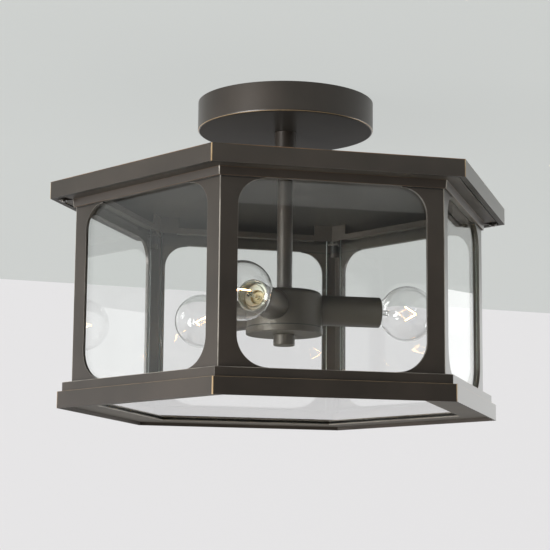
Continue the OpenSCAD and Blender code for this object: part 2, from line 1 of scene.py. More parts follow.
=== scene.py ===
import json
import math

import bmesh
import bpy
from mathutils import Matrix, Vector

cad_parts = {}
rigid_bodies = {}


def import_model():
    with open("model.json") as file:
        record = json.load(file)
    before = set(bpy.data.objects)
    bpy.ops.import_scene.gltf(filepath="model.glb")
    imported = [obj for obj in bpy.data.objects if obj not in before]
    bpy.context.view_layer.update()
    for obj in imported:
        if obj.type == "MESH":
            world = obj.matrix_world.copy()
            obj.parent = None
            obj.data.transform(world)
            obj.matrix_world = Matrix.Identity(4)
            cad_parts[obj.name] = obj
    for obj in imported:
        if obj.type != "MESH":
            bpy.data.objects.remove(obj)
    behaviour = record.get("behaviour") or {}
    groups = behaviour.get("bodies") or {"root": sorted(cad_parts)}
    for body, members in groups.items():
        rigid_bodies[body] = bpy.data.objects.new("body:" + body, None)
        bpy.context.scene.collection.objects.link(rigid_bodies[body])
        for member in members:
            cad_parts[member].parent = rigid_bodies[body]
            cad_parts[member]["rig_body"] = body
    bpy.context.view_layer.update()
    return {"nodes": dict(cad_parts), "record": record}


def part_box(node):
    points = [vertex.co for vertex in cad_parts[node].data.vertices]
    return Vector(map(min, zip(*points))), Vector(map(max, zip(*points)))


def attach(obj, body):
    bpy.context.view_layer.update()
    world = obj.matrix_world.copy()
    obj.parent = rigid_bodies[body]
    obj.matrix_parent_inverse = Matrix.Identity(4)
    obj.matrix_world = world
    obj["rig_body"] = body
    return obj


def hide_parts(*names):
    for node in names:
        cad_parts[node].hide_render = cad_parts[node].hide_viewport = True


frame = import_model()

# %% [markdown]
# # Porch ceiling lantern
# The lantern is a six-sided cage of folded bronze-finished sheet steel, glazed with clear panes.
# It hangs on a short stem from a round canopy, and three globe lamps sit on a hub inside it.
# The measured model comes in as a fixed frame, and this lesson gives each piece its soft edges,
# its finish and the small detail that a solid model leaves out. Blender works in metres, and the
# sizes below are written in millimetres, as on a workshop drawing.

MM = 0.001
nodes = frame["nodes"]

# %% [markdown]
# ## Colour and node helpers
# A hex colour is written in sRGB, as a paint chart or picture editor gives it, while Blender
# computes in linear light. One function turns the first into the second, so every colour below
# can be compared with the real thing. A second function adds one shader node with its settings,
# the links into it and the socket that it feeds, so that a finish reads as a short list of steps.

# %% Colour and node helpers
def linear(hex_code):
    parts = [int(hex_code[i : i + 2], 16) / 255 for i in (1, 3, 5)]
    return [c / 12.92 if c <= 0.04045 else ((c + 0.055) / 1.055) ** 2.4 for c in parts] + [1.0]


def add(tree, kind, links=None, values=None, stops=None, to=None, **settings):
    """A link's source is a socket, or a node whose first output is meant."""
    made = tree.nodes.new(kind)
    for name, value in settings.items():
        setattr(made, name, value)
    for socket, value in (values or {}).items():
        made.inputs[socket].default_value = value
    for socket, source in (links or {}).items():
        tree.links.new(getattr(source, "outputs", [source])[0], made.inputs[socket])
    if stops:
        for stop, (position, hex_code) in zip(made.color_ramp.elements, stops):
            stop.position, stop.color = position, linear(hex_code)
    if to:
        tree.links.new(made.outputs[0], to)
    return made


def new_material(name, values):
    """A material with its plain values set, its shader, and the piece's own coordinates."""
    material = bpy.data.materials.new(name)
    material.use_nodes = True
    tree = material.node_tree
    shader = tree.nodes["Principled BSDF"]
    for socket, value in values.items():
        shader.inputs[socket].default_value = value
    where = add(tree, "ShaderNodeTexCoord").outputs["Object"]
    return material, tree, shader, where


print("dark bronze in linear light:", [round(c, 4) for c in linear("#3a332c")[:3]])

# %% [markdown]
# ## Oil-rubbed bronze powder coat
# The cage is sheet steel with a baked powder coat, and a dark brown glaze wiped over it. The coat
# dries with a faint orange peel about 1.5 mm across, and the glaze pools into clouds a few
# centimetres wide, a little darker and a little glossier. A clear topcoat seals it, so steep
# views of it turn silvery: that is the coat weight. The coat itself holds bronze flake, so it is
# part metal and part paint.

# %% Oil-rubbed bronze powder coat
CLOUD, PEEL, PEEL_DEPTH = 60 * MM, 1.5 * MM, 0.03 * MM
CLOUD_GLOSS = 0.04


def bronze_coat(name, low, high, roughness, metallic, sealed):
    plain = {"Metallic": metallic, "Coat Weight": sealed, "Coat Roughness": 0.3}
    material, tree, shader, where = new_material(name, plain)
    clouds = add(
        tree, "ShaderNodeTexNoise", {"Vector": where}, {"Scale": 1 / CLOUD, "Detail": 4.0}
    )
    peel = add(tree, "ShaderNodeTexNoise", {"Vector": where}, {"Scale": 1 / PEEL, "Detail": 1.0})
    add(
        tree, "ShaderNodeValToRGB", {"Fac": clouds},
        stops=[(0.3, low), (0.7, high)], to=shader.inputs["Base Color"],
    )
    gloss = {"To Min": roughness - CLOUD_GLOSS, "To Max": roughness + CLOUD_GLOSS}
    add(tree, "ShaderNodeMapRange", {"Value": clouds}, gloss, to=shader.inputs["Roughness"])
    relief = {"Distance": PEEL_DEPTH, "Strength": 0.35}
    add(tree, "ShaderNodeBump", {"Height": peel}, relief, to=shader.inputs["Normal"])
    return material


COAT_LOW, COAT_HIGH, COAT_ROUGH, COAT_METAL, SEALED = "#352e27", "#453c34", 0.42, 0.4, 0.9
bronze = bronze_coat(
    "Oil_rubbed_bronze_powder_coat", COAT_LOW, COAT_HIGH, COAT_ROUGH, COAT_METAL, SEALED
)
print("main finish:", bronze.name)

# %% [markdown]
# ## Warm, satin and underside coats
# One coat looks different over the lantern. The floor and the glass tray lie in a recess and came
# out a warmer brown. The small parts of the hub have a thin satin coat, lighter and less glossy.
# Faces that look straight down take a rough copy of their coat that hardly reflects, and the main
# one is a little darker too: painted shade on the undersides. The inside of the roof is painted
# much darker still, painted shade under the roof.

# %% Warm, satin and underside shade coats
bronze_warm = bronze_coat("Oil_rubbed_bronze_warm", "#4b4136", "#5c5144", 0.4, 0.45, SEALED)
bronze_satin = bronze_coat("Oil_rubbed_bronze_satin", "#4c463e", "#5a534a", 0.5, 0.4, 0.25)
UNDERSIDE_ROUGH, UNDERSIDE_METAL = 0.75, 0.1
# Painted shade: a rougher, slightly darker coat for faces that look down.
underside_shade = bronze_coat(
    "Painted_shade_underside", "#332d25", "#423b31", UNDERSIDE_ROUGH, UNDERSIDE_METAL, 0.2
)
# Painted shade on the undersides of the warm and satin parts: their tone, but rough and dull.
underside_shade_warm = bronze_coat(
    "Painted_shade_underside_warm", "#4b4539", "#5c5548", UNDERSIDE_ROUGH, UNDERSIDE_METAL, 0.15
)
# Painted shade: a much darker coat for the inside of the roof.
roof_inside_shade = bronze_coat(
    "Painted_shade_roof_inside", "#26221c", "#322d26", UNDERSIDE_ROUGH, UNDERSIDE_METAL, 0.15
)
print("other coats:", bronze_warm.name, bronze_satin.name, underside_shade.name)

# %% [markdown]
# ## Rubbed edges and painted edge highlights
# Before the coat is sealed its sharp edges are rubbed by hand, and the pale copper undercoat
# shows there as a thin line. The same line stands in for the highlight that the edge catches, so
# it is wear and painted highlight together. The hand presses unevenly, so the line fades in and
# out every couple of centimetres. A browner finish is for edges that were only brushed in passing,
# again wear and painted highlight together, and a grey one is a painted highlight alone.

# %% Rubbed edges and painted edge highlights
def edge_wear_and_highlight(name, covered, bare, patch):
    plain = {"Metallic": 0.35, "Roughness": 0.36}
    material, tree, shader, where = new_material(name, plain)
    patchiness = add(
        tree, "ShaderNodeTexNoise", {"Vector": where}, {"Scale": 1 / patch, "Detail": 3.0}
    )
    add(
        tree, "ShaderNodeValToRGB", {"Fac": patchiness},
        stops=[(0.3, covered), (0.46, bare)], to=shader.inputs["Base Color"],
    )
    return material


# Copper lines: wear and painted highlight together. Grey line: a painted highlight only, whose
# covered and bare colours are its dim and bright ends.
rubbed_and_lit = edge_wear_and_highlight("Rubbed_copper_edge_and_highlight", "#84694c", "#c9ad86", 26 * MM)
brushed_and_lit = edge_wear_and_highlight("Brushed_copper_edge_and_highlight", "#463b31", "#8d6d50", 34 * MM)
highlight_edge = edge_wear_and_highlight("Painted_highlight_edge", "#6e6963", "#b3ada3", 40 * MM)
print("edge finishes:", rubbed_and_lit.name, brushed_and_lit.name, highlight_edge.name)

# %% [markdown]
# ## Zinc, brass, solder and nickel
# The hidden fasteners are zinc-plated steel with a fine rolled grain, bright on the strap and the
# rod, and blackened on the screws that show through the glass. The lamp caps and screw shells are
# drawn brass. Each cap ends in a bead of tin solder, and the filament hangs on nickel leads. The
# grain shifts both the tone and the gloss, which breaks up the highlights.

# %% Zinc, brass, solder and nickel
GRAIN_GLOSS, GRAIN_DEPTH = 0.07, 0.02 * MM


def plain_metal(name, dark, light, roughness, grain_size):
    material, tree, shader, where = new_material(name, {"Metallic": 1.0})
    grain = add(
        tree, "ShaderNodeTexNoise", {"Vector": where}, {"Scale": 1 / grain_size, "Detail": 3.0}
    )
    add(
        tree, "ShaderNodeValToRGB", {"Fac": grain},
        stops=[(0.35, dark), (0.65, light)], to=shader.inputs["Base Color"],
    )
    gloss = {"To Min": roughness - GRAIN_GLOSS, "To Max": roughness + GRAIN_GLOSS}
    add(tree, "ShaderNodeMapRange", {"Value": grain}, gloss, to=shader.inputs["Roughness"])
    relief = {"Distance": GRAIN_DEPTH, "Strength": 0.3}
    add(tree, "ShaderNodeBump", {"Height": grain}, relief, to=shader.inputs["Normal"])
    return material


zinc = plain_metal("Zinc_plated_steel", "#a9aba9", "#d2d4d3", 0.3, 2 * MM)
blackened = plain_metal("Blackened_zinc", "#4b4845", "#86827d", 0.35, 2 * MM)
tinned = plain_metal("Tinned_steel_inside", "#b5b2aa", "#dedbd2", 0.3, 3 * MM)
brass = plain_metal("Drawn_brass", "#a98a55", "#d9bd84", 0.28, 3 * MM)
solder = plain_metal("Tin_solder", "#a2a3a4", "#cfcfcd", 0.4, 1 * MM)
lead_wire = plain_metal("Nickel_lead_wire", "#cfccc6", "#ebe8e2", 0.35, 1 * MM)
green_screw = plain_metal("Green_dyed_zinc", "#2f6a3c", "#4c9159", 0.35, 2 * MM)
print("metals:", zinc.name, blackened.name, tinned.name, brass.name)

# %% [markdown]
# ## Porcelain, cap glass, cement, black tray edge and painted seam shade
# The lampholders are white glazed porcelain, smooth enough to show crisp highlights. The insulator
# at the tip of each cap is black glass, and the globe's neck is set into the cap with a pale,
# chalky cement. The inner edge of the glass tray is coloured plain black. All are a soft mottle of
# two close tones, and differ mostly in gloss. Where two folded parts of the hub meet, the seam is
# painted dark and dull: painted shade in the gap between them.

# %% Porcelain, cap glass, cement, black tray edge and painted seam shade
def mottled_finish(name, low, high, lump, roughness):
    material, tree, shader, where = new_material(name, {"Roughness": roughness})
    cloud = add(
        tree, "ShaderNodeTexNoise", {"Vector": where}, {"Scale": 1 / lump, "Detail": 3.0}
    )
    add(
        tree, "ShaderNodeValToRGB", {"Fac": cloud},
        stops=[(0.3, low), (0.7, high)], to=shader.inputs["Base Color"],
    )
    relief = {"Distance": 0.05 * MM, "Strength": 0.3}
    add(tree, "ShaderNodeBump", {"Height": cloud}, relief, to=shader.inputs["Normal"])
    return material


porcelain = mottled_finish("Glazed_porcelain", "#e4e2dc", "#f1f0eb", 6 * MM, 0.16)
cap_glass = mottled_finish("Black_cap_glass", "#0d0c12", "#1c1a22", 2 * MM, 0.12)
cement = mottled_finish("Basing_cement", "#cdb994", "#e6d8bb", 1 * MM, 0.7)
black_tray_edge = mottled_finish("Black_tray_edge", "#0b0a09", "#171513", 2 * MM, 0.6)
# Painted shade: the seam under the hub cup is painted dark.
painted_seam_shade = mottled_finish("Painted_seam_shade", "#14110e", "#211c18", 4 * MM, 0.6)
print("lampholder finish:", porcelain.name)

# %% [markdown]
# ## Clear glass
# The panes are 3 mm soda-lime float glass. Seen through the face it is colourless; seen along the
# pane, the iron in it shows as pale green, which a little absorption in the volume gives. Light
# has to pass through it, so shadow rays see it as almost clear. The panes' edges are ground, not
# polished, so they scatter light and show as pale lines. The lamps' globes are thin blown glass,
# whose long shallow waves bend the highlights.

# %% Clear glass
GLASS_IOR, IRON_GREEN, IRON_DENSITY = 1.5, "#bfe3d2", 8.0


def clear_glass(name, wave, wave_depth, tint=None, roughness=0.0, base="#ffffff"):
    plain = {
        "Transmission Weight": 1.0, "Roughness": roughness, "IOR": GLASS_IOR,
        "Base Color": linear(base),
    }
    material, tree, shader, where = new_material(name, plain)
    output = tree.nodes["Material Output"]
    waves = add(tree, "ShaderNodeTexNoise", {"Vector": where}, {"Scale": 1 / wave, "Detail": 1.0})
    relief = {"Distance": wave_depth, "Strength": 0.15}
    add(tree, "ShaderNodeBump", {"Height": waves}, relief, to=shader.inputs["Normal"])
    shadow = add(tree, "ShaderNodeLightPath").outputs["Is Shadow Ray"]
    through = add(tree, "ShaderNodeBsdfTransparent", values={"Color": linear("#f6f9f7")})
    add(
        tree, "ShaderNodeMixShader", {0: shadow, 1: shader, 2: through},
        to=output.inputs["Surface"],
    )
    if tint:
        iron = {"Color": linear(tint), "Density": IRON_DENSITY}
        add(tree, "ShaderNodeVolumeAbsorption", values=iron, to=output.inputs["Volume"])
    return material


pane_glass = clear_glass("Clear_float_glass", 120 * MM, 0.02 * MM, IRON_GREEN)
ground_glass = clear_glass("Ground_glass_edge", 1 * MM, 0.1 * MM, IRON_GREEN, 0.45, "#e6f2ec")
globe_glass = clear_glass("Blown_lamp_glass", 18 * MM, 0.03 * MM)
stem_glass = clear_glass("Pressed_stem_glass", 4 * MM, 0.05 * MM)
print("glass:", pane_glass.name, ground_glass.name, globe_glass.name, stem_glass.name)

# %% [markdown]
# ## Glowing filament
# A filament is a coiled coil of tungsten that runs orange-white, hotter in some turns than in
# others. Its wire is drawn a little thicker than the real 0.05 mm, because a thinner one would be
# lost between the pixels.

# %% Glowing filament
FILAMENT_GLOW = 60.0
plain = {"Base Color": linear("#6b5a48"), "Emission Strength": FILAMENT_GLOW}
hot_wire, tree, shader, where = new_material("Hot_tungsten", plain)
heat = add(tree, "ShaderNodeTexNoise", {"Vector": where}, {"Scale": 1 / (3 * MM), "Detail": 1.0})
add(
    tree, "ShaderNodeValToRGB", {"Fac": heat},
    stops=[(0.3, "#ffb35c"), (0.7, "#ffdfa8")], to=shader.inputs["Emission Color"],
)
print("glowing filament strength", FILAMENT_GLOW)

# %% [markdown]
# ## Adding a piece
# Every piece rides on one body of the moving model and takes the finishes that it is given, and a
# piece that stands for a node hides that node. Flat faces stay flat and bends stay round because
# the normals follow the big faces.

# %% Adding a piece
def add_piece(name, mesh, body, materials, smooth_angle=30, weighted=True):
    piece = bpy.data.objects.new(name, mesh)
    bpy.context.scene.collection.objects.link(piece)
    for material in materials:
        mesh.materials.append(material)
    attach(piece, body)
    mesh.shade_smooth()
    mesh.set_sharp_from_angle(angle=math.radians(smooth_angle))
    if weighted:
        piece.modifiers.new("Weighted", "WEIGHTED_NORMAL").keep_sharp = True
    return piece


def stand_for(node, mesh, materials, smooth_angle=30, weighted=True):
    body = nodes[node]["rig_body"]
    piece = add_piece(node + "_skin", mesh, body, materials, smooth_angle, weighted)
    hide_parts(node)
    return piece


def mesh_from(bm, name):
    mesh = bpy.data.meshes.new(name)
    bm.to_mesh(mesh)
    bm.free()
    return mesh


# %% [markdown]
# ## Soft edges on folded sheet
# Folded and coated sheet never has a razor edge: the bend and the coat round it by a few tenths
# of a millimetre, and that catches the light. Each metal node's mesh is copied, its triangles are
# merged back into flat faces, and its long sharp edges are bevelled. A pass is a test of an edge's
# middle, a bevel width and the finish of the bevel, so that one edge can be rubbed bright while
# the next keeps its coat. An edge that an earlier pass has already turned isn't cut again.

# %% Soft edges on folded sheet
SAME_POINT, SAME_PLANE = 0.003 * MM, math.radians(0.3)
FOLDED, TURNED = 25, 40


def merged_mesh(node):
    bm = bmesh.new()
    bm.from_mesh(nodes[node].data)
    bmesh.ops.remove_doubles(bm, verts=bm.verts, dist=SAME_POINT)
    bmesh.ops.dissolve_limit(bm, angle_limit=SAME_PLANE, verts=bm.verts, edges=bm.edges)
    for face in bm.faces:
        face.material_index = 0
    return bm


def sharp_edges(bm, test, sharp_angle):
    found = []
    for edge in bm.edges:
        if len(edge.link_faces) != 2 or edge.calc_face_angle(0) < math.radians(sharp_angle):
            continue
        if any(face.material_index for face in edge.link_faces):
            continue
        middle = (edge.verts[0].co + edge.verts[1].co) / 2 / MM
        if test is None or test(*middle):
            found.append(edge)
    return found


def eased(node, materials, passes, sharp_angle=TURNED):
    """A copy of a node with bevelled edges. A pass is (test or None, width in mm, material)."""
    bm = merged_mesh(node)
    counts = []
    for test, width, material in passes:
        edges = sharp_edges(bm, test, sharp_angle)
        if edges:
            bmesh.ops.bevel(
                bm, geom=edges, offset=width * MM, offset_type="OFFSET", segments=2, profile=0.6,
                affect="EDGES", clamp_overlap=True, material=material,
            )
        counts.append(len(edges))
    print(f"{node}: edges eased in each pass {counts}")
    return stand_for(node, mesh_from(bm, node + "_skin"), materials)


# %% [markdown]
# ## Measuring the cage
# The cage is a hexagon, so a point is best told by its distance from the axis across the flat
# sides, and a corner by its distance from the axis itself. The sizes that the edge tests need are
# read from the frame, so they follow the model.

# %% Measuring the cage
COS_30 = math.cos(math.radians(30))
NEAR = 0.1


def across_flat(x, y):
    """Distance from the axis to the flat side that the point (x, y) belongs to."""
    return max(abs(y), abs(x) * COS_30 + abs(y) * 0.5)


def at_corner(x, y, half, slack=0.6):
    """True where (x, y) lies on a corner of the hexagon whose flats are half from the axis."""
    return math.hypot(x, y) > half / COS_30 - slack


def heights(node):
    low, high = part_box(node)
    return low[2] / MM, high[2] / MM


def widest_at(node, height):
    """Distance of a node's outer flats from the axis, in mm, at one height."""
    points = [point.co / MM for point in nodes[node].data.vertices]
    return max(across_flat(p.x, p.y) for p in points if abs(p.z - height) < NEAR)


def top_of_flats(node, half):
    points = [point.co / MM for point in nodes[node].data.vertices]
    return max(p.z for p in points if across_flat(p.x, p.y) > half - NEAR)


# %% [markdown]
# ## Finishes of one coated part
# A coated part carries five finishes: its coat, three kinds of edge line, and a rough copy of
# the coat on the faces that look down, which is painted shade. Two edge lines are copper wear and
# painted highlight together, and the grey one is a painted highlight alone.

# %% Finishes of one coated part
COAT, RUBBED_AND_LIT, BRUSHED_AND_LIT, HIGHLIGHT_EDGE, UNDER = range(5)
coat = [bronze, rubbed_and_lit, brushed_and_lit, highlight_edge, underside_shade]


# Faces that look down take the underside finish, a rough copy of the coat: painted shade.
def shade_undersides(mesh):
    for face in mesh.polygons:
        if face.normal.z < -0.95 and face.material_index == COAT:
            face.material_index = UNDER


def coated(node, finishes, passes, sharp_angle=FOLDED):
    piece = eased(node, finishes, passes, sharp_angle)
    shade_undersides(piece.data)
    return piece


print("finishes of a coated part:", [material.name for material in coat])

# %% [markdown]
# ## Roof, frieze, vents and brackets
# The roof is a low hipped pan with a folded skirt and hem. Its corners stand out the most, so
# they are rubbed the brightest, the rim above is only brushed, and the foot of the skirt carries a
# grey painted highlight; the rubbed and brushed lines carry painted highlights as well. The frieze
# below it leans in a little. It is brushed along its lower edge and where it meets the posts'
# tops, and its corners carry a grey painted highlight.

# %% Roof
ROOF_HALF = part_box("roof")[1][1] / MM
SKIRT_Z, RIM_Z = heights("roof")[0], top_of_flats("roof", ROOF_HALF)

# The roof's faces that look down lie inside the lantern and take the much darker coat: painted
# shade under the roof.
coated("roof", coat[:UNDER] + [roof_inside_shade], [
    (lambda x, y, z: at_corner(x, y, ROOF_HALF) and SKIRT_Z < z < RIM_Z, 0.65, RUBBED_AND_LIT),
    (lambda x, y, z: across_flat(x, y) > ROOF_HALF - 0.9 and z > RIM_Z - 0.5, 0.9, BRUSHED_AND_LIT),
    (lambda x, y, z: across_flat(x, y) > ROOF_HALF - 0.9 and z < SKIRT_Z + 1, 0.6, HIGHLIGHT_EDGE),
])

# %% Frieze, vents and brackets
FRIEZE_Z, FLANGE_Z = heights("frieze_ring")[0], heights("post_1")[1]
FRIEZE_FOOT, FRIEZE_LEAN = widest_at("frieze_ring", FRIEZE_Z), 1.0
FRIEZE_TOP = FRIEZE_FOOT + FRIEZE_LEAN


def under_flange(x, y, z):
    return abs(across_flat(x, y) - FRIEZE_TOP) < 0.4 and abs(z - FLANGE_Z) < 0.3


coated("frieze_ring", coat, [
    (lambda x, y, z: at_corner(x, y, FRIEZE_FOOT) and z < FLANGE_Z, 0.5, HIGHLIGHT_EDGE),
    (under_flange, 0.8, BRUSHED_AND_LIT),
    (lambda x, y, z: across_flat(x, y) > FRIEZE_FOOT - 0.3 and z < FRIEZE_Z + 0.5, 0.8, BRUSHED_AND_LIT),
])
coated("vent_ring", coat, [(None, 0.25, HIGHLIGHT_EDGE)])
coated("corner_brackets", coat, [(None, 0.3, COAT)])

# %% [markdown]
# ## Corner posts
# Each post is a bent angle with flared ends, so that two neighbours make a window with round
# corners. The outer bend and the cut edges round the window carry a grey painted highlight. Just
# under the frieze each post is painted dark in a thin line, painted shade where the frieze
# overhangs it. A gradient over the height paints that line, because it lies at one height on
# every post.

# %% Corner posts
POST_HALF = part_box("post_1")[1][0] / MM * COS_30
# Painted shade: from 1.4 mm below the frieze upward, the posts' tone fades to nearly black.
FRIEZE_SHADE_START, FRIEZE_SHADE_FULL, FRIEZE_SHADE_SHARE = FRIEZE_Z - 1.4, FRIEZE_Z - 0.9, 0.9

bronze_posts_shaded = bronze_coat(
    "Oil_rubbed_bronze_posts_painted_shade", COAT_LOW, COAT_HIGH, COAT_ROUGH, COAT_METAL, SEALED
)
tree = bronze_posts_shaded.node_tree
tone = tree.nodes["Principled BSDF"].inputs["Base Color"]
where = add(tree, "ShaderNodeTexCoord").outputs["Object"]
height = add(tree, "ShaderNodeSeparateXYZ", {0: where}).outputs["Z"]
limits = {
    "From Min": FRIEZE_SHADE_START * MM, "From Max": FRIEZE_SHADE_FULL * MM, "To Min": 0.0, "To Max": FRIEZE_SHADE_SHARE,
}
frieze_shade = add(tree, "ShaderNodeMapRange", {"Value": height}, limits)
shaded_tone = add(
    tree, "ShaderNodeMix", {"Factor": frieze_shade, "A": tone.links[0].from_socket},
    {"B": linear("#0d0a08")}, data_type="RGBA",
)
tree.links.new(shaded_tone.outputs["Result"], tone)
post_coat = [bronze_posts_shaded] + coat[RUBBED_AND_LIT:]

for number in range(1, 7):
    coated(f"post_{number}", post_coat, [
        (lambda x, y, z: at_corner(x, y, POST_HALF), 0.55, HIGHLIGHT_EDGE),
        (lambda x, y, z: across_flat(x, y) > POST_HALF - 0.4, 0.3, HIGHLIGHT_EDGE),
    ])

# %% [markdown]
# ## Stepped base and floor
# The base is two folded steps with a flat floor turned in under them. The edge where the steps
# meet is rubbed the most, because it stands proud all round.

# %% Stepped base and floor
FOOT_Z, STEP_Z = heights("base_ring")
BASE_HALF, STEP_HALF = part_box("base_ring")[1][1] / MM, widest_at("base_ring", STEP_Z)
BASE_Z = top_of_flats("base_ring", BASE_HALF)

coated("base_ring", coat, [
    (lambda x, y, z: at_corner(x, y, BASE_HALF) and FOOT_Z < z < BASE_Z, 0.7, RUBBED_AND_LIT),
    (lambda x, y, z: across_flat(x, y) > BASE_HALF - 0.8 and z > BASE_Z - 0.8, 2.0, RUBBED_AND_LIT),
    (lambda x, y, z: across_flat(x, y) > BASE_HALF - 0.9, 0.6, HIGHLIGHT_EDGE),
    (lambda x, y, z: at_corner(x, y, STEP_HALF) and BASE_Z < z < STEP_Z, 0.5, COAT),
    (lambda x, y, z: across_flat(x, y) > STEP_HALF - 0.8 and z > STEP_Z - 0.8, 0.5, HIGHLIGHT_EDGE),
])
warm_coat = [bronze_warm, rubbed_and_lit, brushed_and_lit, highlight_edge, underside_shade_warm]
coated("base_floor", warm_coat, [(None, 0.3, HIGHLIGHT_EDGE)])

# %% [markdown]
# ## Glass tray
# The tray keeps the bottom pane just above the floor. Seen from below, its ledge is a thin dark
# line round the window: the faces along its inner edge are coloured plain black.

# %% Glass tray
tray = coated("glass_tray", warm_coat, [(None, 0.3, COAT)])
tray.data.materials.append(black_tray_edge)
tray_inside = min(across_flat(point.co.x, point.co.y) for point in tray.data.vertices)
black_edge_reach = tray_inside + 1.5 * MM
# Faces along the tray's inner edge take the plain black finish.
for face in tray.data.polygons:
    if across_flat(face.center.x, face.center.y) < black_edge_reach and abs(face.normal.z) < 0.98:
        face.material_index = UNDER + 1
print(f"tray opening {2 * tray_inside / MM:.1f} mm across its flats")

# %% [markdown]
# ## Spun parts
# A canopy is spun from a flat disc over a former, which makes every section round, so it is drawn
# the same way: a profile of radius and height, turned about an axis. Each stretch of the profile
# may carry its own finish, which puts a rubbed line exactly on a rolled rim.

# %% Turning a profile
RIGHT, LEFT, DOWN, UP = (1, 0), (-1, 0), (0, -1), (0, 1)


def rounded(corner, before, after, radius, finish=COAT, steps=6):
    """Profile points of a round corner between two directions given as unit vectors."""
    start = [corner[i] - before[i] * radius for i in (0, 1)]
    end = [corner[i] + after[i] * radius for i in (0, 1)]
    points = []
    for step in range(steps + 1):
        t = step / steps
        x, z = [
            (1 - t) ** 2 * start[i] + 2 * t * (1 - t) * corner[i] + t * t * end[i] for i in (0, 1)
        ]
        points.append((x, z, finish if step == steps // 2 else COAT))
    return points


def turned_mesh(name, profile, place=None, turns=128, closed=True):
    """Profile rows are (radius, height, finish of the stretch to the next row), in mm."""
    bm = bmesh.new()
    angles = [2 * math.pi * i / turns for i in range(turns)]
    rings = []
    for radius, height, *_ in profile:
        if radius < 1e-6:
            rings.append([bm.verts.new((0, 0, height * MM))])
            continue
        around = [(radius * math.cos(a), radius * math.sin(a), height) for a in angles]
        rings.append([bm.verts.new(Vector(point) * MM) for point in around])
    last = len(rings) if closed else len(rings) - 1
    for i in range(last):
        lower, upper = rings[i], rings[(i + 1) % len(rings)]
        finish = profile[i][2] if len(profile[i]) > 2 else COAT
        if len(lower) == 1 and len(upper) == 1:
            continue
        for j in range(turns):
            here, after = (j, (j + 1) % turns)
            corners = [lower[here % len(lower)], lower[after % len(lower)]]
            corners += [upper[after % len(upper)], upper[here % len(upper)]]
            bm.faces.new(list(dict.fromkeys(corners))).material_index = finish
    if place is not None:
        bm.transform(place)
    bmesh.ops.recalc_face_normals(bm, faces=bm.faces)
    return mesh_from(bm, name)


print("a round corner of 2 mm has", len(rounded((10, 0), RIGHT, UP, 2)), "points")

# %% Canopy
canopy_low, canopy_high = [Vector(v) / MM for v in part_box("canopy")]
CANOPY_R, CANOPY_Z, CANOPY_ROUND, CANOPY_WALL = canopy_high.x, canopy_low.z, 2.0, 1.2
CUT_EDGE, ROD_HOLE, SPUN_SMOOTH = 0.3, 5.2, 40

inside, floor_z = CANOPY_R - CANOPY_WALL, CANOPY_Z + CANOPY_WALL
canopy_profile = [(ROD_HOLE, CANOPY_Z)]
canopy_profile += rounded((CANOPY_R, CANOPY_Z), RIGHT, UP, CANOPY_ROUND, BRUSHED_AND_LIT)
canopy_profile += rounded((CANOPY_R, 0), UP, LEFT, CUT_EDGE, COAT, 3)
canopy_profile += rounded((inside, 0), LEFT, DOWN, CUT_EDGE, COAT, 3)
canopy_profile += rounded((inside, floor_z), DOWN, LEFT, CANOPY_ROUND - CANOPY_WALL, COAT, 3)
canopy_profile += [(ROD_HOLE, floor_z)]
canopy_mesh = turned_mesh("canopy_skin", canopy_profile)
# The canopy's faces that look down take the underside coat: painted shade.
shade_undersides(canopy_mesh)
canopy_coat = [bronze, rubbed_and_lit, rubbed_and_lit, highlight_edge, underside_shade]
stand_for("canopy", canopy_mesh, canopy_coat, SPUN_SMOOTH)
print("canopy radius", round(CANOPY_R, 2), "height", round(-CANOPY_Z, 2))

# %% [markdown]
# ## Stem, hub and socket cups
# The stem and its collar are plain drawn tube, and their ends are hidden in their neighbours. The
# hub cup keeps the model's own mesh, because its wall is pierced for the arms, and its foot is
# painted dark, painted shade in the seam with the cover. The socket cups are bare tinned steel
# inside, where the coat wasn't sprayed, and that shows as a pale ring round the lampholder.

# %% Stem tubes
def tube_skin(node, ease):
    low, high = [Vector(v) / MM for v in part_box(node)]
    profile = rounded((high.x, low.z), RIGHT, UP, ease, COAT, 3)
    profile += rounded((high.x, high.z), UP, LEFT, ease, COAT, 3)
    profile += [(ROD_HOLE, high.z), (ROD_HOLE, low.z)]
    stand_for(node, turned_mesh(node + "_skin", profile), coat, SPUN_SMOOTH)
    print(f"{node}: {2 * high.x:.1f} mm tube, {high.z - low.z:.1f} mm long")


tube_skin("stem_collar", 0.3)
tube_skin("stem_tube", 0.2)

# %% Hub
HUB_FOOT, HUB_RIM_R, KNOB_RIM_R = heights("hub_cup")[0], 31, 8
SEAM_SHADE = UNDER + 1
# The last two finishes are painted shade: a rough copy of the coat for the undersides, and a dark
# one for the seam under the hub cup.
satin_coat = [bronze_satin, rubbed_and_lit, brushed_and_lit, highlight_edge, underside_shade_warm, painted_seam_shade]

# The cup's foot edge gets a 1 mm bevel in the dark seam finish: painted shade where it meets the
# cover.
coated("hub_cup", satin_coat, [
    (lambda x, y, z: z < HUB_FOOT + 0.3 and math.hypot(x, y) > HUB_RIM_R, 1.0, SEAM_SHADE),
    (None, 0.3, COAT),
], TURNED)
coated("hub_cover", satin_coat, [
    (lambda x, y, z: math.hypot(x, y) > HUB_RIM_R, 0.4, HIGHLIGHT_EDGE),
], TURNED)
coated("finial", satin_coat, [(lambda x, y, z: math.hypot(x, y) > KNOB_RIM_R, 0.7, COAT)], TURNED)

# %% [markdown]
# ## Arms of the hub
# Each lamp sits on its own arm. The record gives the line that its joint slides along, and a
# matrix built from it lets every lamp piece be drawn once, along +Z from the hub's axis. Its
# inverse measures a node of the frame along that arm.

# %% Arms of the hub
joint_rows = {row["name"]: row for row in frame["record"]["behaviour"]["joints"]}
LAMPS = (1, 2, 3)


